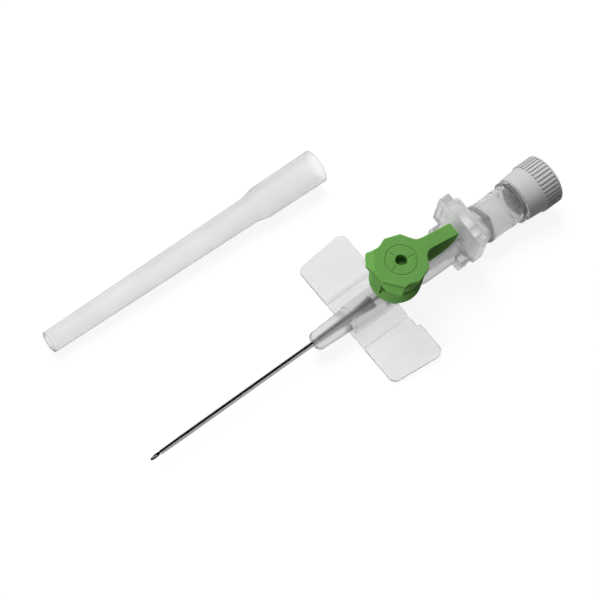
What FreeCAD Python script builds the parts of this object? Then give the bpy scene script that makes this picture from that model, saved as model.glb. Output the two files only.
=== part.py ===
"""Ported intravenous cannula with wings, its needle still in and its needle cover beside it.

Units are millimetres. The cannula is drawn level in its own working frame: X runs along
the needle towards the rear plug, Z points up through the port, and the port's axis crosses
the needle's axis at the origin. At the end every piece is laid down as it rests on a table:
the wings' front edges and the plug's ring touch it, and the origin moves to the middle of
the wings' underside, which is the face that lies on the skin.
"""

import FreeCAD
import Part

import math
import os

Vector = FreeCAD.Vector

# Catheter and needle: an 18 gauge cannula, 1.3 mm by 45 mm
catheter_length = 45.0
catheter_radius = 0.65
catheter_bore_radius = 0.50
catheter_flare_radius = 0.85
catheter_taper_length = 6.0
catheter_tip_wall = 0.06
needle_clearance = 0.03
needle_wall = 0.14
needle_reach = 2.7
bevel_slope = 20.0
lancet_turn = 38.0
lancet_slope = 27.0
lancet_share = 0.45
grind_reach = 12.0

# Catheter hub, along the needle's axis
nose_x = -24.0
nose_radius = 2.35
nose_round = 1.3
cone_end_x = -13.2
cone_end_radius = 2.8
step_height = 0.28
body_front_radius = 3.1
body_radius = 3.3
body_start_x = -3.0
tube_cone_start_x = 5.0
tube_start_x = 7.5
tube_radius = 3.85
mouth_x = 18.1
lug_thickness = 1.75
lug_radius = 5.98
lug_half_height = 2.36
luer_mouth_radius = 2.15
luer_slope = 0.03
luer_depth = 11.4
luer_clearance = 0.03
valve_radius = 2.3
valve_wall = 0.55
valve_length = 6.4
valve_rear_x = 3.2
nozzle_bore_radius = 1.25

# Ferrule: its nose wedges the catheter's flared end, and its funnel guides the needle in
ferrule_step_x = -11.2
ferrule_nose_length = 2.8
ferrule_funnel_length = 4.8
ferrule_front_radius = 0.9
ferrule_rear_radius = 1.25
ferrule_wall = 0.15
ferrule_clearance = 0.01

# Wings
wing_under_z = -5.0
wing_thickness = 0.9
wing_front_x = -13.7
root_rear_x = 0.1
flap_rear_x = 1.05
flap_step_y = 10.1
flap_step_run = 0.25
fold_y = 6.9
fold_gap = 0.04
groove_half_width = 0.8
flap_front_span = 17.95
flap_rear_span = 19.3
flap_corner_radius = 1.9
flap_step_radius = 0.2
wing_seat_x = -6.8
saddle_half_foot = 3.3
saddle_half_top = 2.9
saddle_top_z = -1.2
saddle_inset = 0.5

# Port that stands on the hub
pedestal_radius = 4.3
pedestal_top_z = 3.95
pedestal_round = 0.5
port_radius = 3.0
port_top_z = 9.4
port_bore_radius = 2.2
bead_height = 1.0
bead_proud = 0.22

# Port cap: the collar that turns on the port, and the lid
running_clearance = 0.05
collar_radius = 6.25
collar_foot_round = 1.3
collar_floor = 1.3
collar_wall = 0.8
collar_height = 5.6
lid_gap = 0.3
lid_top_z = 15.65
lid_plate = 1.6
skirt_top_radius = 6.0
skirt_foot_radius = 5.85
skirt_wall = 0.7
lid_front_x = -7.1
lid_front_half = 4.05
ear_x = -5.15
ear_y = 6.65
scallop_x = -2.7
scallop_y = 5.45
crown_x = 0.2
crown_y = 6.55
shoulder_x = 4.0
shoulder_y = 5.3
waist_x = 6.1
waist_y = 1.9
scallop_radius = 3.0
waist_radius = 2.4
edge_radius = 0.4
ear_fold_front_x = -6.7
ear_fold_front_y = 1.95
ear_fold_rear_x = -3.83
ear_fold_rear_y = 5.6
ear_reach = 5.0
ear_step = 0.3
ear_slope = 29.0
ear_hang = 0.45
dial_radius = 3.9
dial_groove = 0.25
dial_groove_depth = 0.15
dial_mark_start = 1.9
dial_mark_angles = (109.0, -12.0, -167.0)
lid_hole_radius = 1.45
lid_hole_depth = 2.4
pin_top_radius = 2.0
pin_foot_radius = 1.65
pin_depth = 1.9
pin_floor = 0.6
pin_wall = 0.4

# Lever of the lid
lever_half_width = 1.68
lever_start_x = 4.0
lever_shoulder_x = 7.0
lever_crown_radius = 9.5
lever_tip_x = 17.2
lever_tip_round = 0.4
lever_drop = 4.25
lever_heel_x = 16.3
lever_heel_round = 4.0
lever_low_z = 6.2
lever_front_x = 9.0
lever_lip_x = 13.2
lever_wall = 0.7
lever_skin = 0.9

# Living hinge between collar and lid, on the front of the port
hinge_x = -6.9
strap_half_width = 1.6
strap_half_thickness = 0.25
hinge_gap = 0.05
hinge_neck = 0.5
strap_foot = 1.7

# Needle hub with its finger plate
hub_gap = 0.1
plate_front_x = 18.3
plate_thickness = 2.6
plate_half_width = 7.4
plate_top_z = 13.4
plate_crown_half = 5.4
plate_crown_step = 0.2
plate_crown_z = 14.5
plate_foot_z = 2.9
plate_corner_radius = 0.6
base_half_width = 5.5
base_half_height = 2.4
base_corner_radius = 1.2
guard_thickness = 2.0
guard_half_width = 6.3
guard_top_z = 11.7
guard_corner_radius = 2.2
neck_radius = 4.3
neck_end_x = 27.0
needle_socket_end_x = 30.0
needle_socket_radius = 1.5
plate_web_half = 0.5
plate_web_run = 1.2

# Flash chamber
chamber_radius = 4.9
chamber_ring_radius = 5.05
chamber_ring_length = 1.5
chamber_ring_round = 0.6
chamber_bead_x = 34.0
chamber_bead_length = 1.1
chamber_flange_x = 37.2
chamber_flange_length = 1.2
chamber_flange_radius = 5.6
chamber_wall = 0.95
chamber_rear_x = 39.4
spout_radius = 3.3
spout_length = 5.2
spout_lug_radius = 4.0
spout_lug_length = 1.1

# Vent plug with its filter
plug_rear_x = 48.6
plug_front_round = 0.25
plug_skirt_radius = 5.76
plug_cone_radius = 6.15
plug_ring_x = 43.5
plug_ring_radius = 6.45
plug_ring_round = 0.35
plug_bore_clearance = 0.15
thread_clearance = 0.12
plug_end_wall = 2.4
plug_spigot_length = 5.4
vent_radius = 1.1
filter_radius = 2.7
filter_thickness = 0.5
filter_clearance = 0.05
filter_cover = 0.9
knurl_count = 38
knurl_depth = 0.28
knurl_width = 0.6
knurl_rear_margin = 0.5

# Needle cover, lying beside the cannula with its open end to the rear
cover_length = 78.7
cover_end_radius = 2.7
cover_waist_radius = 3.37
cover_flare_radius = 4.15
cover_mouth_radius = 4.33
cover_flare_start = 58.5
cover_flare_length = 3.5
cover_wall = 0.75
cover_end_wall = 1.2
cover_end_round = 0.4
cover_end_x = -66.2
cover_end_y = 36.8
cover_yaw = -0.8

# Worked out from the sizes above
needle_radius = catheter_bore_radius - needle_clearance
tip_x = nose_x - catheter_length - needle_reach
wing_top_z = wing_under_z + wing_thickness
collar_foot_z = pedestal_top_z + running_clearance
collar_top_z = collar_foot_z + collar_height
skirt_foot_z = collar_top_z + lid_gap
hinge_z = collar_top_z + lid_gap / 2
plate_rear_x = plate_front_x + plate_thickness
guard_rear_x = plate_rear_x + guard_thickness
plug_front_x = chamber_flange_x + chamber_flange_length + hub_gap
ring_low_x = plug_rear_x - plug_ring_round
rest_pitch = math.degrees(math.atan2(plug_ring_radius + wing_under_z, ring_low_x - wing_front_x))

# Overlap of cutters and welded pieces, and the length below which an edge is left out
margin = 1.0
weld = 0.5
shortest_edge = 1e-7


def rounded_corner(before, corner, after):
    """Start, middle and end of the arc that rounds one corner of an outline."""
    point = Vector(corner[0], corner[1], 0)
    back = (Vector(before[0], before[1], 0) - point).normalize()
    ahead = (Vector(after[0], after[1], 0) - point).normalize()
    half = back.getAngle(ahead) / 2
    radius = corner[2]
    run = radius / math.tan(half)
    inward = (back + ahead).normalize()
    middle = point + inward * (radius / math.sin(half) - radius)
    return point + back * run, middle, point + ahead * run


def outline(corners, place):
    """Closed wire through flat corners, each (u, v) or (u, v, radius)."""
    count = len(corners)
    arcs = {}
    for i, corner in enumerate(corners):
        if len(corner) == 3:
            arcs[i] = rounded_corner(corners[i - 1], corner, corners[(i + 1) % count])
    edges = []
    for i, corner in enumerate(corners):
        following = (i + 1) % count
        leave = arcs[i][2] if i in arcs else Vector(corner[0], corner[1], 0)
        ahead = corners[following]
        arrive = arcs[following][0] if following in arcs else Vector(ahead[0], ahead[1], 0)
        if i in arcs:
            start, middle, end = arcs[i]
            ends = [place(start.x, start.y), place(middle.x, middle.y), place(end.x, end.y)]
            edges.append(Part.Arc(*ends).toShape())
        if leave.distanceToPoint(arrive) > shortest_edge:
            edges.append(Part.makeLine(place(leave.x, leave.y), place(arrive.x, arrive.y)))
    return Part.Wire(edges)


def turned_x(corners):
    """Solid turned about the needle's axis from corners (x, radius)."""
    face = Part.Face(outline(corners, lambda x, radius: Vector(x, 0, radius)))
    return face.revolve(Vector(0, 0, 0), Vector(1, 0, 0), 360)


def turned_z(corners):
    """Solid turned about the port's axis from corners (radius, z)."""
    face = Part.Face(outline(corners, lambda radius, z: Vector(radius, 0, z)))
    return face.revolve(Vector(0, 0, 0), Vector(0, 0, 1), 360)


def slab_z(corners, low, high):
    """Plate from corners (x, y), between two heights."""
    face = Part.Face(outline(corners, lambda x, y: Vector(x, y, low)))
    return face.extrude(Vector(0, 0, high - low))


def slab_x(corners, front, rear):
    """Plate from corners (y, z), between two stations along the needle."""
    face = Part.Face(outline(corners, lambda y, z: Vector(front, y, z)))
    return face.extrude(Vector(rear - front, 0, 0))


def slab_y(corners, half_width):
    """Plate from corners (x, z), centred on the plane of symmetry."""
    face = Part.Face(outline(corners, lambda x, z: Vector(x, -half_width, z)))
    return face.extrude(Vector(0, 2 * half_width, 0))


def rectangle(half_width, low, high, radius=0.0):
    """Corners (y, z) of an upright rectangle, rounded where a radius is given."""
    flat = [(-half_width, low), (half_width, low), (half_width, high), (-half_width, high)]
    if radius > 0:
        return [(y, z, radius) for y, z in flat]
    return flat


def mirrored(shape):
    """The same shape on the other side of the plane of symmetry."""
    return shape.mirror(Vector(0, 0, 0), Vector(0, 1, 0))


def luer_radius(x, clearance=0.0):
    """Radius of the hub's conical socket at a station, less a clearance."""
    return luer_mouth_radius - luer_slope * (mouth_x - x) - clearance


def flare(x, straight_radius):
    """Radius in the catheter's flared end at a station, from the radius in its straight part."""
    share = (x - nose_x) / (ferrule_step_x - nose_x)
    return straight_radius + share * (catheter_flare_radius - catheter_radius)


def groove_side(side):
    """Cutter that bevels a wing's edge at its fold line; side is +1 for the flap, -1 for the root."""
    start = fold_y + side * fold_gap
    far = fold_y - side * (groove_half_width + margin)
    shoulder = start + side * groove_half_width
    low = wing_under_z - margin
    high = wing_top_z + margin
    corners = [(far, low), (start, low), (start, wing_under_z), (shoulder, wing_top_z),
               (shoulder, high), (far, high)]
    return slab_x(corners, wing_front_x - margin, flap_rear_x + margin)


def make_wing():
    """Left wing's flap, outside its fold line."""
    corners = [(wing_front_x, fold_y - margin),
               (wing_front_x, flap_front_span, flap_corner_radius),
               (flap_rear_x, flap_rear_span, flap_corner_radius),
               (flap_rear_x, flap_step_y + flap_step_run, flap_step_radius),
               (root_rear_x, flap_step_y),
               (root_rear_x, fold_y - margin)]
    return slab_z(corners, wing_under_z, wing_top_z).cut(groove_side(1))


def hub_outside():
    """Outside of the catheter hub: nose, body, luer tube, port, lugs and wing root."""
    body = turned_x([(nose_x, 0), (nose_x, nose_radius, nose_round),
                     (cone_end_x, cone_end_radius),
                     (cone_end_x, cone_end_radius + step_height),
                     (body_start_x, body_radius),
                     (tube_cone_start_x, body_radius),
                     (tube_start_x, tube_radius),
                     (mouth_x, tube_radius), (mouth_x, 0)])
    disc = Part.makeCylinder(lug_radius, lug_thickness, Vector(mouth_x - lug_thickness, 0, 0),
                             Vector(1, 0, 0))
    band = slab_x(rectangle(lug_radius + margin, -lug_half_height, lug_half_height),
                  mouth_x - lug_thickness, mouth_x)
    lugs = disc.common(band)
    pedestal = turned_z([(0, 0), (pedestal_radius, 0),
                         (pedestal_radius, pedestal_top_z, pedestal_round),
                         (port_radius, pedestal_top_z), (port_radius, port_top_z),
                         (0, port_top_z)])
    bead_z = collar_foot_z + collar_floor + running_clearance
    bead = turned_z([(0, bead_z), (port_radius, bead_z),
                     (port_radius + bead_proud, bead_z + bead_height / 2),
                     (port_radius, bead_z + bead_height), (0, bead_z + bead_height)])
    root = slab_z([(wing_front_x, -fold_y - margin), (root_rear_x, -fold_y - margin),
                   (root_rear_x, fold_y + margin), (wing_front_x, fold_y + margin)],
                  wing_under_z, wing_top_z)
    root = root.cut(groove_side(-1))
    root = root.cut(mirrored(groove_side(-1)))
    saddle = slab_x([(-saddle_half_foot, wing_top_z), (saddle_half_foot, wing_top_z),
                     (saddle_half_top, saddle_top_z), (-saddle_half_top, saddle_top_z)],
                    wing_front_x + saddle_inset, root_rear_x)
    return body.fuse([lugs, pedestal, bead, root, saddle]).removeSplitter()


def make_hub():
    """Catheter hub, one clear moulding with its passages."""
    valve_front_x = valve_rear_x - valve_length
    ferrule_rear_x = ferrule_step_x + ferrule_funnel_length
    passage = turned_x([(nose_x - margin, 0), (nose_x - margin, catheter_radius),
                        (nose_x, catheter_radius),
                        (ferrule_step_x, catheter_flare_radius),
                        (ferrule_step_x, ferrule_front_radius),
                        (ferrule_rear_x, ferrule_rear_radius),
                        (valve_front_x, nozzle_bore_radius),
                        (valve_front_x, valve_radius), (valve_rear_x, valve_radius),
                        (valve_rear_x, luer_radius(mouth_x - luer_depth)),
                        (mouth_x - luer_depth, luer_radius(mouth_x - luer_depth)),
                        (mouth_x + margin, luer_radius(mouth_x + margin)),
                        (mouth_x + margin, 0)])
    port_bore = Part.makeCylinder(port_bore_radius, port_top_z + margin)
    return hub_outside().cut(passage).cut(port_bore)


def make_catheter():
    """Catheter tube: drawn down to the needle at its tip, flared where the hub holds it."""
    front = nose_x - catheter_length
    tip_radius = catheter_bore_radius + catheter_tip_wall
    return turned_x([(front, catheter_bore_radius), (front, tip_radius),
                     (front + catheter_taper_length, catheter_radius),
                     (nose_x, catheter_radius), (ferrule_step_x, catheter_flare_radius),
                     (ferrule_step_x, flare(ferrule_step_x, catheter_bore_radius)),
                     (nose_x, catheter_bore_radius)])


def make_ferrule():
    """Steel ferrule: a nose inside the catheter's flared end, and a funnel behind it."""
    front = ferrule_step_x - ferrule_nose_length
    rear = ferrule_step_x + ferrule_funnel_length
    front_radius = flare(front, catheter_bore_radius) - ferrule_clearance
    step_radius = flare(ferrule_step_x, catheter_bore_radius) - ferrule_clearance
    return turned_x([(front, front_radius - ferrule_wall), (front, front_radius),
                     (ferrule_step_x, step_radius), (ferrule_step_x, ferrule_front_radius),
                     (rear, ferrule_rear_radius), (rear, ferrule_rear_radius - ferrule_wall),
                     (ferrule_step_x + ferrule_wall, step_radius - ferrule_wall)])


def make_valve():
    """Silicone sleeve that closes the port from inside."""
    front = valve_rear_x - valve_length
    inner = valve_radius - valve_wall
    return turned_x([(front, inner), (front, valve_radius), (valve_rear_x, valve_radius),
                     (valve_rear_x, inner)])


def hinge_wedge(side):
    """Thin end of the living hinge: side is +1 for the lid's half, -1 for the collar's."""
    apex = hinge_z + side * hinge_gap
    shoulder = hinge_z + side * (hinge_gap + hinge_neck)
    corners = [(hinge_x, apex), (hinge_x - strap_half_thickness, shoulder),
               (hinge_x + strap_half_thickness, shoulder)]
    return slab_y(corners, strap_half_width)


def make_collar():
    """Cup that turns on the port, with the fixed half of the hinge strap."""
    inner = collar_radius - collar_wall
    bore = port_radius + running_clearance
    floor_z = collar_foot_z + collar_floor
    cup = turned_z([(bore, collar_foot_z), (collar_radius, collar_foot_z, collar_foot_round),
                    (collar_radius, collar_top_z), (inner, collar_top_z),
                    (inner, floor_z, edge_radius), (bore, floor_z)])
    neck_z = hinge_z - hinge_gap - hinge_neck
    bracket = slab_y([(hinge_x - strap_half_thickness, neck_z),
                      (hinge_x - strap_half_thickness, neck_z - strap_foot / 2),
                      (-inner - collar_wall / 2, neck_z - strap_foot),
                      (-inner - collar_wall / 2, neck_z)], strap_half_width)
    return cup.fuse([bracket, hinge_wedge(-1)]).removeSplitter()


def lid_plan():
    """Scalloped plan of the lid, seen from above, without its lever."""
    left = [(lid_front_x, lid_front_half, edge_radius), (ear_x, ear_y, edge_radius),
            (scallop_x, scallop_y, scallop_radius), (crown_x, crown_y, edge_radius),
            (shoulder_x, shoulder_y, edge_radius), (waist_x, waist_y, waist_radius),
            (lever_shoulder_x + margin, lever_half_width)]
    right = [(corner[0], -corner[1]) + corner[2:] for corner in reversed(left)]
    return left + right


def ear_block(low, high):
    """Upright block outside the left front ear's fold line, between two heights."""
    front = Vector(ear_fold_front_x, ear_fold_front_y, low)
    rear = Vector(ear_fold_rear_x, ear_fold_rear_y, low)
    along = (rear - front).normalize() * ear_reach
    outward = Vector(-along.y, along.x, 0)
    start = front - along
    end = rear + along
    face = Part.Face(Part.makePolygon([start, end, end + outward, start + outward, start]))
    return face.extrude(Vector(0, 0, high - low))


def ear_cutter():
    """Space above the left front ear, which steps down at its fold line and then slopes."""
    step_z = lid_top_z - ear_step
    above = ear_block(step_z, lid_top_z + margin)
    fold_front = Vector(ear_fold_front_x, ear_fold_front_y, step_z)
    fold_rear = Vector(ear_fold_rear_x, ear_fold_rear_y, step_z)
    wedge = above.copy()
    wedge.rotate(fold_front, fold_rear - fold_front, -ear_slope)
    return above.fuse(wedge)


def lever_crown():
    """Space above the lever's falling top, also where the lid's plate runs out into it."""
    sky = lid_top_z + margin
    return slab_y([(crown_x, lid_top_z), (lever_shoulder_x, lid_top_z, lever_crown_radius),
                   (lever_tip_x, lid_top_z - lever_drop), (lever_tip_x, sky), (crown_x, sky)],
                  crown_y + margin)


def make_lever():
    """Lever that lifts the lid: a deep tab with a rounded heel, hollow from below."""
    tip_z = lid_top_z - lever_drop
    fall = lever_drop / (lever_tip_x - lever_shoulder_x)
    outside = [(lever_start_x, lid_top_z), (lever_shoulder_x, lid_top_z, lever_crown_radius),
               (lever_tip_x, tip_z, lever_tip_round),
               (lever_heel_x, lever_low_z, lever_heel_round), (lever_front_x, lever_low_z),
               (collar_radius + lid_gap, skirt_foot_z), (lever_start_x, skirt_foot_z)]
    under_z = lever_low_z - margin
    hollow = [(skirt_top_radius, lid_top_z - lid_plate),
              (lever_shoulder_x, lid_top_z - lever_skin - lever_wall),
              (lever_tip_x - lever_wall, tip_z + fall * lever_wall - lever_skin),
              (lever_heel_x - lever_wall, lever_low_z + lever_wall, lever_heel_round - lever_wall),
              (lever_lip_x, lever_low_z + lever_wall), (lever_lip_x, under_z),
              (skirt_top_radius, under_z)]
    return slab_y(outside, lever_half_width).cut(slab_y(hollow, lever_half_width - lever_wall))


def dial():
    """Engraved circle and three marks on the lid's plate."""
    low = lid_top_z - dial_groove_depth
    ring = turned_z([(dial_radius - dial_groove, low), (dial_radius, low),
                     (dial_radius, lid_top_z + margin),
                     (dial_radius - dial_groove, lid_top_z + margin)])
    marks = []
    for angle in dial_mark_angles:
        mark = Part.makeBox(dial_radius - dial_mark_start, dial_groove, margin,
                            Vector(dial_mark_start, -dial_groove / 2, low))
        mark.rotate(Vector(0, 0, 0), Vector(0, 0, 1), angle)
        marks.append(mark)
    return ring.fuse(marks)


def make_lid():
    """Port lid: scalloped plate, skirt, plug pin, lever and its half of the hinge strap."""
    plate_foot_z = lid_top_z - lid_plate
    ear_foot_z = plate_foot_z - ear_hang
    ears = slab_z(lid_plan(), ear_foot_z, plate_foot_z)
    left_ear = ears.common(ear_block(ear_foot_z, plate_foot_z))
    plate = slab_z(lid_plan(), plate_foot_z, lid_top_z).fuse([left_ear, mirrored(left_ear)])
    plate = plate.cut([ear_cutter(), mirrored(ear_cutter()), lever_crown()])
    skirt = turned_z([(skirt_foot_radius - skirt_wall, skirt_foot_z),
                      (skirt_foot_radius, skirt_foot_z), (skirt_top_radius, plate_foot_z),
                      (skirt_foot_radius - skirt_wall, plate_foot_z)])
    pin_foot_z = port_top_z - pin_depth
    pin = turned_z([(0, pin_foot_z), (pin_foot_radius, pin_foot_z, edge_radius),
                    (pin_top_radius, port_top_z), (pin_top_radius, plate_foot_z),
                    (0, plate_foot_z)])
    neck_z = hinge_z + hinge_gap + hinge_neck
    strap = slab_y([(hinge_x - strap_half_thickness, neck_z),
                    (hinge_x + strap_half_thickness, neck_z),
                    (skirt_wall - skirt_foot_radius, neck_z + hinge_neck),
                    (skirt_wall - skirt_foot_radius, plate_foot_z),
                    (hinge_x - strap_half_thickness, plate_foot_z)], strap_half_width)
    lid = plate.fuse([skirt, pin, strap, hinge_wedge(1), make_lever()])
    hole_floor_z = lid_top_z - lid_hole_depth
    hole = turned_z([(0, hole_floor_z), (lid_hole_radius, hole_floor_z),
                     (lid_hole_radius, lid_top_z + margin), (0, lid_top_z + margin)])
    core_radius = pin_foot_radius - pin_wall
    core_top_z = hole_floor_z - pin_floor
    core = turned_z([(0, pin_foot_z - margin), (core_radius, pin_foot_z - margin),
                     (core_radius, core_top_z), (0, core_top_z)])
    return lid.cut([hole, core, dial()]).removeSplitter()


def grind(turn, slope, station):
    """Half space above a plane ground across the needle's end.

    The plane passes the needle's lower side at the station, rises towards the rear at the
    slope, and is turned about the needle's axis.
    """
    block = Part.makeBox(2 * grind_reach, 2 * grind_reach, grind_reach,
                         Vector(-grind_reach, -grind_reach, 0))
    block.rotate(Vector(0, 0, 0), Vector(0, 1, 0), -slope)
    block.translate(Vector(station, 0, -needle_radius))
    block.rotate(Vector(0, 0, 0), Vector(1, 0, 0), turn)
    return block


def make_needle():
    """Steel needle with a three-facet point, open into the flash chamber."""
    tube = turned_x([(tip_x, needle_radius - needle_wall), (tip_x, needle_radius),
                     (needle_socket_end_x, needle_radius),
                     (needle_socket_end_x, needle_radius - needle_wall)])
    needle = tube.cut(grind(0, bevel_slope, tip_x))
    flank = tip_x - lancet_share
    needle = needle.cut(grind(lancet_turn, lancet_slope, flank))
    return needle.cut(grind(-lancet_turn, lancet_slope, flank))


def make_needle_hub():
    """Needle hub: luer nose, finger plate, round-cornered guard and neck."""
    nose_front = mouth_x - luer_depth + hub_gap
    nose = turned_x([(nose_front, 0), (nose_front, luer_radius(nose_front, luer_clearance)),
                     (mouth_x + hub_gap, luer_radius(mouth_x + hub_gap, luer_clearance)),
                     (plate_front_x, luer_radius(mouth_x + hub_gap, luer_clearance)),
                     (plate_front_x, 0)])
    base = slab_x(rectangle(base_half_width, -base_half_height, plate_foot_z + margin,
                            base_corner_radius), mouth_x + hub_gap, plate_rear_x)
    plate = slab_x(rectangle(plate_half_width, plate_foot_z, plate_top_z, plate_corner_radius),
                   plate_front_x, plate_rear_x)
    rise = plate_crown_z - plate_crown_step - plate_top_z
    crown_radius = (plate_crown_half ** 2 + rise ** 2) / (2 * rise)
    crown = Part.makeCylinder(crown_radius, plate_thickness,
                              Vector(plate_front_x, 0, plate_crown_z - crown_radius),
                              Vector(1, 0, 0))
    crown = crown.common(slab_x(rectangle(plate_crown_half, plate_foot_z, plate_crown_z),
                                plate_front_x, plate_rear_x))
    guard = slab_x(rectangle(guard_half_width, -base_half_height, guard_top_z,
                             guard_corner_radius), plate_rear_x, guard_rear_x)
    neck = turned_x([(plate_rear_x, 0), (plate_rear_x, neck_radius), (neck_end_x, neck_radius),
                     (neck_end_x, needle_socket_radius),
                     (needle_socket_end_x, needle_socket_radius), (needle_socket_end_x, 0)])
    web = slab_y([(guard_rear_x - margin, neck_radius - margin),
                  (guard_rear_x + plate_web_run, neck_radius - margin),
                  (guard_rear_x, guard_top_z - guard_corner_radius),
                  (guard_rear_x - margin, guard_top_z - guard_corner_radius)], plate_web_half)
    solid = nose.fuse([base, plate, crown, guard, neck, web])
    bore = turned_x([(nose_front - margin, 0), (nose_front - margin, needle_radius),
                     (needle_socket_end_x + margin, needle_radius),
                     (needle_socket_end_x + margin, 0)])
    return solid.cut(bore).removeSplitter()


def make_chamber():
    """Clear flash chamber, open at the rear through its luer spout."""
    ring_end = neck_end_x + chamber_ring_length
    bead_end = chamber_bead_x + chamber_bead_length
    flange_end = chamber_flange_x + chamber_flange_length
    spout_end = chamber_rear_x + spout_length
    lug_start = spout_end - spout_lug_length
    outside = turned_x([(neck_end_x, 0), (neck_end_x, chamber_ring_radius, chamber_ring_round),
                        (ring_end, chamber_ring_radius), (ring_end, chamber_radius),
                        (chamber_bead_x, chamber_radius), (chamber_bead_x, chamber_ring_radius),
                        (bead_end, chamber_ring_radius), (bead_end, chamber_radius),
                        (chamber_flange_x, chamber_radius),
                        (chamber_flange_x, chamber_flange_radius),
                        (flange_end, chamber_flange_radius), (flange_end, chamber_radius),
                        (chamber_rear_x, chamber_radius),
                        (chamber_rear_x, spout_radius), (lug_start, spout_radius),
                        (lug_start, spout_lug_radius), (spout_end, spout_lug_radius),
                        (spout_end, 0)])
    inner = chamber_radius - chamber_wall
    inside = turned_x([(neck_end_x - margin, 0), (neck_end_x - margin, needle_socket_radius),
                       (ring_end, needle_socket_radius), (ring_end, inner),
                       (chamber_rear_x - chamber_wall, inner),
                       (chamber_rear_x - chamber_wall, luer_mouth_radius),
                       (spout_end + margin, luer_mouth_radius), (spout_end + margin, 0)])
    return outside.cut(inside)


def make_plug():
    """Grey screw plug with a ribbed grip ring and a vented spigot."""
    wall_x = plug_rear_x - plug_end_wall
    thread_radius = spout_lug_radius + thread_clearance
    mouth_radius = chamber_radius + plug_bore_clearance
    mouth_end = chamber_rear_x + plug_bore_clearance
    outside = turned_x([(plug_front_x, 0), (plug_front_x, plug_skirt_radius, plug_front_round),
                        (plug_ring_x, plug_cone_radius), (plug_ring_x, plug_ring_radius),
                        (plug_rear_x, plug_ring_radius, plug_ring_round), (plug_rear_x, 0)])
    hollow = turned_x([(plug_front_x - margin, 0), (plug_front_x - margin, mouth_radius),
                       (mouth_end, mouth_radius), (mouth_end, thread_radius),
                       (wall_x, thread_radius), (wall_x, 0)])
    spigot_front = wall_x - plug_spigot_length
    spigot_radius = luer_mouth_radius - luer_clearance
    spigot = turned_x([(spigot_front, 0), (spigot_front, spigot_radius - luer_clearance),
                       (spigot_front + margin, spigot_radius),
                       (wall_x + weld, spigot_radius), (wall_x + weld, 0)])
    plug = outside.cut(hollow).fuse(spigot)
    pocket_start = plug_rear_x - filter_cover - filter_thickness - filter_clearance
    vent = turned_x([(spigot_front - margin, 0), (spigot_front - margin, vent_radius),
                     (pocket_start, vent_radius),
                     (pocket_start, filter_radius + filter_clearance),
                     (plug_rear_x - filter_cover, filter_radius + filter_clearance),
                     (plug_rear_x - filter_cover, vent_radius),
                     (plug_rear_x + margin, vent_radius), (plug_rear_x + margin, 0)])
    plug = plug.cut(vent)
    slot = Part.makeBox(plug_rear_x - knurl_rear_margin - plug_ring_x, knurl_width, margin,
                        Vector(plug_ring_x, -knurl_width / 2, plug_ring_radius - knurl_depth))
    pitch = 360 / knurl_count
    slots = []
    for i in range(knurl_count):
        copy = slot.copy()
        copy.rotate(Vector(0, 0, 0), Vector(1, 0, 0), i * pitch + pitch / 2)
        slots.append(copy)
    return plug.cut(slots)


def make_filter():
    """Porous disc that lets air out of the chamber and keeps blood in."""
    front = plug_rear_x - filter_cover - filter_thickness - filter_clearance / 2
    return Part.makeCylinder(filter_radius, filter_thickness, Vector(front, 0, 0),
                             Vector(1, 0, 0))


def make_cover():
    """Needle cover, drawn along X from its closed end at the origin."""
    flare_end = cover_flare_start + cover_flare_length
    outside = [(0, 0), (0, cover_end_radius, cover_end_round),
               (cover_flare_start, cover_waist_radius), (flare_end, cover_flare_radius),
               (cover_length, cover_mouth_radius), (cover_length, 0)]
    inside = [(cover_end_wall, 0), (cover_end_wall, cover_end_radius - cover_wall),
              (cover_flare_start, cover_waist_radius - cover_wall),
              (flare_end, cover_flare_radius - cover_wall),
              (cover_length + margin, cover_mouth_radius - cover_wall),
              (cover_length + margin, 0)]
    return turned_x(outside).cut(turned_x(inside))


def on_table(shape):
    """Lay a piece of the cannula down as it rests, with the wings' seat as the origin."""
    shape.translate(Vector(-wing_seat_x, 0, -wing_under_z))
    shape.rotate(Vector(0, 0, 0), Vector(0, 1, 0), -rest_pitch)
    return shape


def table_height():
    """Height of the table below the wings' seat, once the cannula is laid down."""
    return (wing_front_x - wing_seat_x) * math.sin(math.radians(rest_pitch))


def cover_on_table(shape):
    """Lay the needle cover on its closed end's edge and on its mouth's rim."""
    rise = math.degrees(math.atan2(cover_mouth_radius - cover_end_radius, cover_length))
    shape.rotate(Vector(0, 0, 0), Vector(0, 1, 0), -rise)
    shape.rotate(Vector(0, 0, 0), Vector(0, 0, 1), cover_yaw)
    low = table_height() - shape.optimalBoundingBox().ZMin
    shape.translate(Vector(cover_end_x, cover_end_y, low))
    return shape


def main():
    os.makedirs("parts", exist_ok=True)
    left_wing = make_wing()
    pieces = {
        "catheter_hub": make_hub(),
        "wing_left": left_wing,
        "wing_right": mirrored(left_wing),
        "catheter_tube": make_catheter(),
        "catheter_ferrule": make_ferrule(),
        "port_valve": make_valve(),
        "cap_collar": make_collar(),
        "cap_lid": make_lid(),
        "needle": make_needle(),
        "needle_hub": make_needle_hub(),
        "flash_chamber": make_chamber(),
        "vent_plug": make_plug(),
        "vent_filter": make_filter(),
    }
    laid = {name: on_table(shape) for name, shape in pieces.items()}
    laid["needle_cover"] = cover_on_table(make_cover())
    for name, shape in laid.items():
        shape.exportStep("parts/" + name + ".step")
        print(name, shape.isValid(), len(shape.Solids), round(shape.Volume, 2))


main()
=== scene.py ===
"""Looks of the ported intravenous cannula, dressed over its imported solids. Metres."""

import math

import bpy
from mathutils import Matrix, Vector


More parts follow.
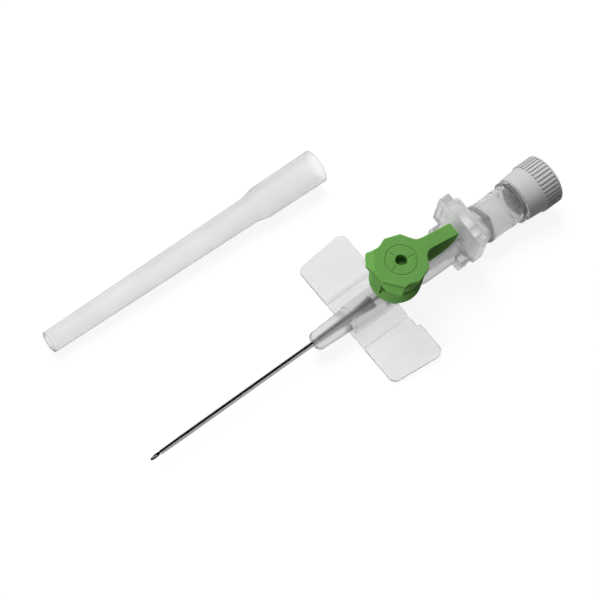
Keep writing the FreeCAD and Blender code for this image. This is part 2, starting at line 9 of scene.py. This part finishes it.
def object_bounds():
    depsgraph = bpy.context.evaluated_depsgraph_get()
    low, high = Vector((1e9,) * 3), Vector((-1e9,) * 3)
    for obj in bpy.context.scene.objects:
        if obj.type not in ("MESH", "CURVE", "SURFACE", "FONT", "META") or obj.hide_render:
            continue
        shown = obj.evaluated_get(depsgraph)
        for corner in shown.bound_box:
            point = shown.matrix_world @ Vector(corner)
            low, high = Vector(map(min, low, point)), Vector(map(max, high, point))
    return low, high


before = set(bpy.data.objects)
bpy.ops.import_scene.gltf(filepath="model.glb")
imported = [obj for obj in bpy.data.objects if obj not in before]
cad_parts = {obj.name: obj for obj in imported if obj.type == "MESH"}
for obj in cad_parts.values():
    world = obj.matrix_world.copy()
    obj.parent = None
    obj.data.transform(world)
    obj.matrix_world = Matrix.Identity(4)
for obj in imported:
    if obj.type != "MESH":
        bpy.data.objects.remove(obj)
cad_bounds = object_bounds()

MM = 0.001

# Camera, matched to the photograph: a long lens that looks down on the table. Degrees.
CAMERA_TARGET = Vector((-13.06, 10.34, 5.0)) * MM
CAMERA_DISTANCE = 585.0 * MM
CAMERA_AZIMUTH = -54.18
CAMERA_ELEVATION = 64.77
CAMERA_ROLL = 16.64
CAMERA_LENS = 150.0
CAMERA_NEAR = 0.01
CAMERA_FAR = 10.0
SENSOR_WIDTH = 36.0

# White table. The lift is a glow that the camera, gloss and clear plastic see,
# and that lights nothing.
TABLE_SIZE = 3.0
TABLE_COLOUR = (0.13, 0.13, 0.13, 1.0)
TABLE_LIFT = 0.89

# White surroundings: their level as light on matt surfaces, and as they are seen
WORLD_COLOUR = (1.0, 1.0, 1.0, 1.0)
WORLD_LEVEL = 0.16
WORLD_SEEN = 1.0

# Lamps: a large key over the far side, and a low fill before the needle's tip
KEY_PLACE = Vector((20.0, 290.0, 430.0)) * MM
KEY_SIZE = 340.0 * MM
KEY_WATTS = 3.3
FILL_PLACE = Vector((-420.0, -60.0, 70.0)) * MM
FILL_SIZE = 200.0 * MM
FILL_WATTS = 1.3

# Black card: an arch along X, between two angles over the +Y side
FLAG_COLOUR = (0.01, 0.01, 0.01, 1.0)
FLAG_REACH = 420.0 * MM
FLAG_LENGTH = 900.0 * MM
FLAG_LOW = 5.0
FLAG_HIGH = 108.0
FLAG_STEPS = 24

# Colours, linear. The second of each pair is the one that the noise blends in.
GREEN = (0.126, 0.300, 0.076, 1.0)
GREEN_DEEP = (0.112, 0.278, 0.065, 1.0)
GREY = (0.510, 0.512, 0.516, 1.0)
GREY_DEEP = (0.475, 0.477, 0.480, 1.0)
DULL_STEEL = (0.22, 0.22, 0.22, 1.0)
DULL_STEEL_WORN = (0.17, 0.17, 0.17, 1.0)
STEEL = (0.62, 0.62, 0.63, 1.0)
STEEL_WORN = (0.54, 0.54, 0.55, 1.0)
SILICONE = (0.55, 0.56, 0.56, 1.0)
SILICONE_DEEP = (0.50, 0.51, 0.51, 1.0)
MEMBRANE = (0.80, 0.80, 0.78, 1.0)
MEMBRANE_DEEP = (0.60, 0.60, 0.58, 1.0)

# Clear plastic: red, green and blue parts of its tint, and what it absorbs inside
CLEAR_LIGHT = (1.0, 1.0, 1.004)
CLEAR_DEEP = (0.95, 0.95, 0.955)
SMOKE = (0.90, 0.90, 0.90, 1.0)

# Noise patterns: scale per metre, detail, and stretch along X, Y and Z
MOULD_FLOW = (90.0, 4.0, (1.0, 2.0, 0.6))
MOULD_GRAIN = (5200.0, 2.0, (1.0, 1.0, 1.0))
CLEAR_FLOW = (160.0, 3.0, (0.6, 1.6, 1.0))
STEEL_LINES = (2600.0, 3.0, (0.02, 1.0, 1.0))
CATHETER_LINES = (1500.0, 2.0, (0.02, 1.0, 1.0))
MEMBRANE_CELLS = (7000.0, 5.0, (1.0, 1.0, 1.0))

# Part of the noise's range that is spread over a colour pair or a roughness range
NOISE_LOW = 0.3
NOISE_HIGH = 0.7

# Surface detail: strength of the bump, its height, and the radius of softened edges
GRAIN_BUMP = 0.25
GRAIN_HEIGHT = 0.02 * MM
CELL_BUMP = 0.6
CELL_HEIGHT = 0.03 * MM
MOULD_EDGE = 0.18 * MM
EDGE_SAMPLES = 4

# How far red, green and blue light seep into moulded plastic
SEEP_COLOUR = (0.7, 1.0, 0.4)
SEEP_SCALE = 2.0 * MM

# Refraction, roughness and metal share of the single materials
MOULD_BEND = 1.49
CLEAR_BEND = 1.45
STEEL_ROUGH = (0.12, 0.20)
CATHETER_BEND = 1.06
CATHETER_ROUGH = (0.10, 0.16)
CATHETER_METAL = 0.45
MEMBRANE_ROUGH = 0.9

# Sockets of the colour form of the mix node, which share their names with other forms
MIX_FIRST = 6
MIX_SECOND = 7
MIX_RESULT = 2


class Graph:
    """A material's nodes, added and wired by name."""

    def __init__(self, name):
        self.material = bpy.data.materials.new(name)
        self.material.use_nodes = True
        self.tree = self.material.node_tree
        self.tree.nodes.clear()
        self.output = self.add("ShaderNodeOutputMaterial")
        self.place = self.add("ShaderNodeTexCoord").outputs["Object"]

    def add(self, kind, **values):
        node = self.tree.nodes.new(kind)
        for key, value in values.items():
            setattr(node, key, value)
        return node

    def wire(self, source, target):
        self.tree.links.new(source, target)

    def noise(self, scale, detail, stretch):
        mapping = self.add("ShaderNodeMapping")
        mapping.inputs["Scale"].default_value = stretch
        self.wire(self.place, mapping.inputs["Vector"])
        node = self.add("ShaderNodeTexNoise")
        node.inputs["Scale"].default_value = scale
        node.inputs["Detail"].default_value = detail
        self.wire(mapping.outputs["Vector"], node.inputs["Vector"])
        return node.outputs["Fac"]

    def between(self, noise, low, high):
        """Spread a noise from one value to another."""
        node = self.add("ShaderNodeMapRange")
        node.inputs["From Min"].default_value = NOISE_LOW
        node.inputs["From Max"].default_value = NOISE_HIGH
        node.inputs["To Min"].default_value = low
        node.inputs["To Max"].default_value = high
        self.wire(noise, node.inputs["Value"])
        return node.outputs["Result"]

    def vary(self, shader, noise, first, second, rough=None):
        """Let a noise vary the shader's colour, and its roughness where a range is given."""
        node = self.add("ShaderNodeMix", data_type="RGBA")
        node.inputs[MIX_FIRST].default_value = first
        node.inputs[MIX_SECOND].default_value = second
        self.wire(self.between(noise, 0.0, 1.0), node.inputs["Factor"])
        self.wire(node.outputs[MIX_RESULT], shader.inputs["Base Color"])
        if rough:
            self.wire(self.between(noise, *rough), shader.inputs["Roughness"])

    def soft_edges(self, radius):
        node = self.add("ShaderNodeBevel", samples=EDGE_SAMPLES)
        node.inputs["Radius"].default_value = radius
        return node.outputs["Normal"]

    def bump(self, noise, strength, height, normal=None):
        node = self.add("ShaderNodeBump")
        node.inputs["Strength"].default_value = strength
        node.inputs["Distance"].default_value = height
        self.wire(noise, node.inputs["Height"])
        if normal:
            self.wire(normal, node.inputs["Normal"])
        return node.outputs["Normal"]

    def principled(self, **sockets):
        node = self.add("ShaderNodeBsdfPrincipled")
        for key, value in sockets.items():
            node.inputs[key.replace("_", " ")].default_value = value
        return node

    def finish(self, shader):
        self.wire(shader, self.output.inputs["Surface"])
        return self.material


def moulded(name, colour, deep, rough, gloss, seep):
    """Satin moulded plastic with faint flow marks and a fine spark-eroded grain."""
    graph = Graph(name)
    shader = graph.principled(IOR=MOULD_BEND, Specular_IOR_Level=gloss,
                              Subsurface_Weight=seep, Subsurface_Radius=SEEP_COLOUR,
                              Subsurface_Scale=SEEP_SCALE)
    graph.vary(shader, graph.noise(*MOULD_FLOW), colour, deep, rough)
    grain = graph.noise(*MOULD_GRAIN)
    edges = graph.soft_edges(MOULD_EDGE)
    graph.wire(graph.bump(grain, GRAIN_BUMP, GRAIN_HEIGHT, edges), shader.inputs["Normal"])
    return graph.finish(shader.outputs["BSDF"])


def clear_plastic(name, tint, clear, rough, bend=CLEAR_BEND, edge=0.0, smoke=0.0):
    """Clear moulded plastic: part of the light passes and bends, the rest scatters in its
    milk. Thick places are smokier. Round thin parts keep their own normals (edge 0)."""
    graph = Graph(name)
    shader = graph.principled(IOR=bend, Transmission_Weight=clear)
    light = [tint * part for part in CLEAR_LIGHT] + [1.0]
    deep = [tint * part for part in CLEAR_DEEP] + [1.0]
    graph.vary(shader, graph.noise(*CLEAR_FLOW), light, deep, rough)
    if edge:
        graph.wire(graph.soft_edges(edge), shader.inputs["Normal"])
    if smoke:
        body = graph.add("ShaderNodeVolumeAbsorption")
        body.inputs["Color"].default_value = SMOKE
        body.inputs["Density"].default_value = smoke
        graph.wire(body.outputs["Volume"], graph.output.inputs["Volume"])
    return graph.finish(shader.outputs["BSDF"])


def steel(name, colour, worn):
    """Drawn stainless tube, with lines that run along it."""
    graph = Graph(name)
    shader = graph.principled(Metallic=1.0)
    graph.vary(shader, graph.noise(*STEEL_LINES), colour, worn, STEEL_ROUGH)
    return graph.finish(shader.outputs["BSDF"])


def catheter(name):
    """Thin glossy tube, tight over bright steel. Its metal share stands for that steel."""
    graph = Graph(name)
    shader = graph.principled(IOR=CATHETER_BEND, Transmission_Weight=1.0,
                              Metallic=CATHETER_METAL)
    graph.vary(shader, graph.noise(*CATHETER_LINES), STEEL, STEEL_WORN, CATHETER_ROUGH)
    return graph.finish(shader.outputs["BSDF"])


def membrane(name):
    """White porous disc of fused grains."""
    graph = Graph(name)
    shader = graph.principled(Roughness=MEMBRANE_ROUGH)
    cells = graph.noise(*MEMBRANE_CELLS)
    graph.vary(shader, cells, MEMBRANE, MEMBRANE_DEEP)
    graph.wire(graph.bump(cells, CELL_BUMP, CELL_HEIGHT), shader.inputs["Normal"])
    return graph.finish(shader.outputs["BSDF"])


def dress(node, material):
    """Give a node of the frame its one material."""
    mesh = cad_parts[node].data
    mesh.materials.clear()
    mesh.materials.append(material)


def put(name, data):
    """Add an object to the scene."""
    item = bpy.data.objects.new(name, data)
    bpy.context.scene.collection.objects.link(item)
    return item


def make_camera():
    data = bpy.data.cameras.new("camera")
    data.lens = CAMERA_LENS
    data.sensor_width = SENSOR_WIDTH
    data.clip_start = CAMERA_NEAR
    data.clip_end = CAMERA_FAR
    camera = put("camera", data)
    turn = math.radians(CAMERA_AZIMUTH)
    rise = math.radians(CAMERA_ELEVATION)
    roll = math.radians(CAMERA_ROLL)
    back = Vector((math.sin(turn) * math.cos(rise),
                   -math.cos(turn) * math.cos(rise),
                   math.sin(rise)))
    level = Vector((0, 0, 1)).cross(back).normalized()
    upright = back.cross(level)
    right = level * math.cos(roll) + upright * math.sin(roll)
    up = back.cross(right)
    pose = Matrix((right, up, back)).transposed().to_4x4()
    pose.translation = CAMERA_TARGET + back * CAMERA_DISTANCE
    camera.matrix_world = pose
    bpy.context.scene.camera = camera


def soft_lamp(name, place, size, watts):
    """Large soft lamp, aimed at the part. Gloss and clear plastic don't show it."""
    data = bpy.data.lights.new(name, "AREA")
    data.shape = "SQUARE"
    data.size = size
    data.energy = watts
    lamp = put(name, data)
    lamp.location = place
    lamp.rotation_mode = "QUATERNION"
    lamp.rotation_quaternion = (-place).to_track_quat("-Z", "Y")
    lamp.visible_glossy = False
    lamp.visible_transmission = False


def make_flag():
    """Black card arched over the table, seen only in gloss and through clear plastic."""
    half = FLAG_LENGTH / 2
    rows = []
    for step in range(FLAG_STEPS + 1):
        turn = math.radians(FLAG_LOW + (FLAG_HIGH - FLAG_LOW) * step / FLAG_STEPS)
        across = math.cos(turn) * FLAG_REACH
        up = math.sin(turn) * FLAG_REACH
        rows += [(-half, across, up), (half, across, up)]
    faces = [(2 * step, 2 * step + 1, 2 * step + 3, 2 * step + 2)
             for step in range(FLAG_STEPS)]
    mesh = bpy.data.meshes.new("flag")
    mesh.from_pydata(rows, [], faces)
    flag = put("flag", mesh)
    graph = Graph("flag_black")
    card = graph.add("ShaderNodeBsdfDiffuse")
    card.inputs["Color"].default_value = FLAG_COLOUR
    mesh.materials.append(graph.finish(card.outputs["BSDF"]))
    flag.visible_camera = False
    flag.visible_diffuse = False
    flag.visible_shadow = False


def make_world():
    world = bpy.data.worlds.new("studio")
    bpy.context.scene.world = world
    world.use_nodes = True
    tree = world.node_tree
    background = tree.nodes["Background"]
    background.inputs["Color"].default_value = WORLD_COLOUR
    path = tree.nodes.new("ShaderNodeLightPath")
    level = tree.nodes.new("ShaderNodeMapRange")
    level.inputs["To Min"].default_value = WORLD_SEEN
    level.inputs["To Max"].default_value = WORLD_LEVEL
    tree.links.new(path.outputs["Is Diffuse Ray"], level.inputs["Value"])
    tree.links.new(level.outputs["Result"], background.inputs["Strength"])


def make_table():
    """Matt table under the part. It keeps the part's shadow, and its lift makes it white."""
    height = cad_bounds[0].z
    half = TABLE_SIZE / 2
    corners = [(-half, -half, height), (half, -half, height),
               (half, half, height), (-half, half, height)]
    mesh = bpy.data.meshes.new("table")
    mesh.from_pydata(corners, [], [(0, 1, 2, 3)])
    table = put("table", mesh)
    graph = Graph("table_white")
    matt = graph.add("ShaderNodeBsdfDiffuse")
    matt.inputs["Color"].default_value = TABLE_COLOUR
    lift = graph.add("ShaderNodeEmission")
    path = graph.add("ShaderNodeLightPath")
    seen = path.outputs["Is Camera Ray"]
    for name in ("Is Glossy Ray", "Is Transmission Ray"):
        more = graph.add("ShaderNodeMath", operation="MAXIMUM")
        graph.wire(seen, more.inputs[0])
        graph.wire(path.outputs[name], more.inputs[1])
        seen = more.outputs["Value"]
    level = graph.add("ShaderNodeMath", operation="MULTIPLY")
    level.inputs[1].default_value = TABLE_LIFT
    graph.wire(seen, level.inputs[0])
    graph.wire(level.outputs["Value"], lift.inputs["Strength"])
    both = graph.add("ShaderNodeAddShader")
    graph.wire(matt.outputs["BSDF"], both.inputs[0])
    graph.wire(lift.outputs["Emission"], both.inputs[1])
    mesh.materials.append(graph.finish(both.outputs["Shader"]))


def dress_all():
    green = moulded("green_cap", GREEN, GREEN_DEEP, rough=(0.42, 0.52), gloss=0.0, seep=0.6)
    wing = clear_plastic("clear_wing", tint=0.995, clear=0.92, rough=(0.30, 0.36),
                         edge=0.2 * MM, smoke=150.0)
    hub = clear_plastic("clear_hub", tint=0.97, clear=0.90, rough=(0.29, 0.34), bend=1.32,
                        edge=0.2 * MM, smoke=450.0)
    needle_hub = clear_plastic("clear_needle_hub", tint=0.995, clear=0.80,
                               rough=(0.29, 0.34), edge=0.3 * MM, smoke=40.0)
    chamber = clear_plastic("clear_chamber", tint=0.90, clear=0.88, rough=(0.20, 0.26),
                            bend=1.26, smoke=300.0)
    cover = clear_plastic("clear_cover", tint=0.995, clear=0.99, rough=(0.29, 0.33))
    metal = steel("steel", STEEL, STEEL_WORN)
    looks = {
        "catheter_hub": hub,
        "wing_left": wing,
        "wing_right": wing,
        "catheter_tube": catheter("catheter"),
        "catheter_ferrule": steel("dull_steel", DULL_STEEL, DULL_STEEL_WORN),
        "port_valve": moulded("silicone", SILICONE, SILICONE_DEEP,
                              rough=(0.45, 0.60), gloss=0.3, seep=0.4),
        "cap_collar": green,
        "cap_lid": green,
        "needle": metal,
        "needle_hub": needle_hub,
        "flash_chamber": chamber,
        "vent_plug": moulded("grey_plug", GREY, GREY_DEEP,
                             rough=(0.34, 0.44), gloss=0.02, seep=0.0),
        "vent_filter": membrane("membrane"),
        "needle_cover": cover,
    }
    for node, material in looks.items():
        dress(node, material)


bpy.context.scene.view_settings.view_transform = "Standard"
make_camera()
make_world()
make_table()
soft_lamp("key", KEY_PLACE, KEY_SIZE, KEY_WATTS)
soft_lamp("fill", FILL_PLACE, FILL_SIZE, FILL_WATTS)
make_flag()
dress_all()
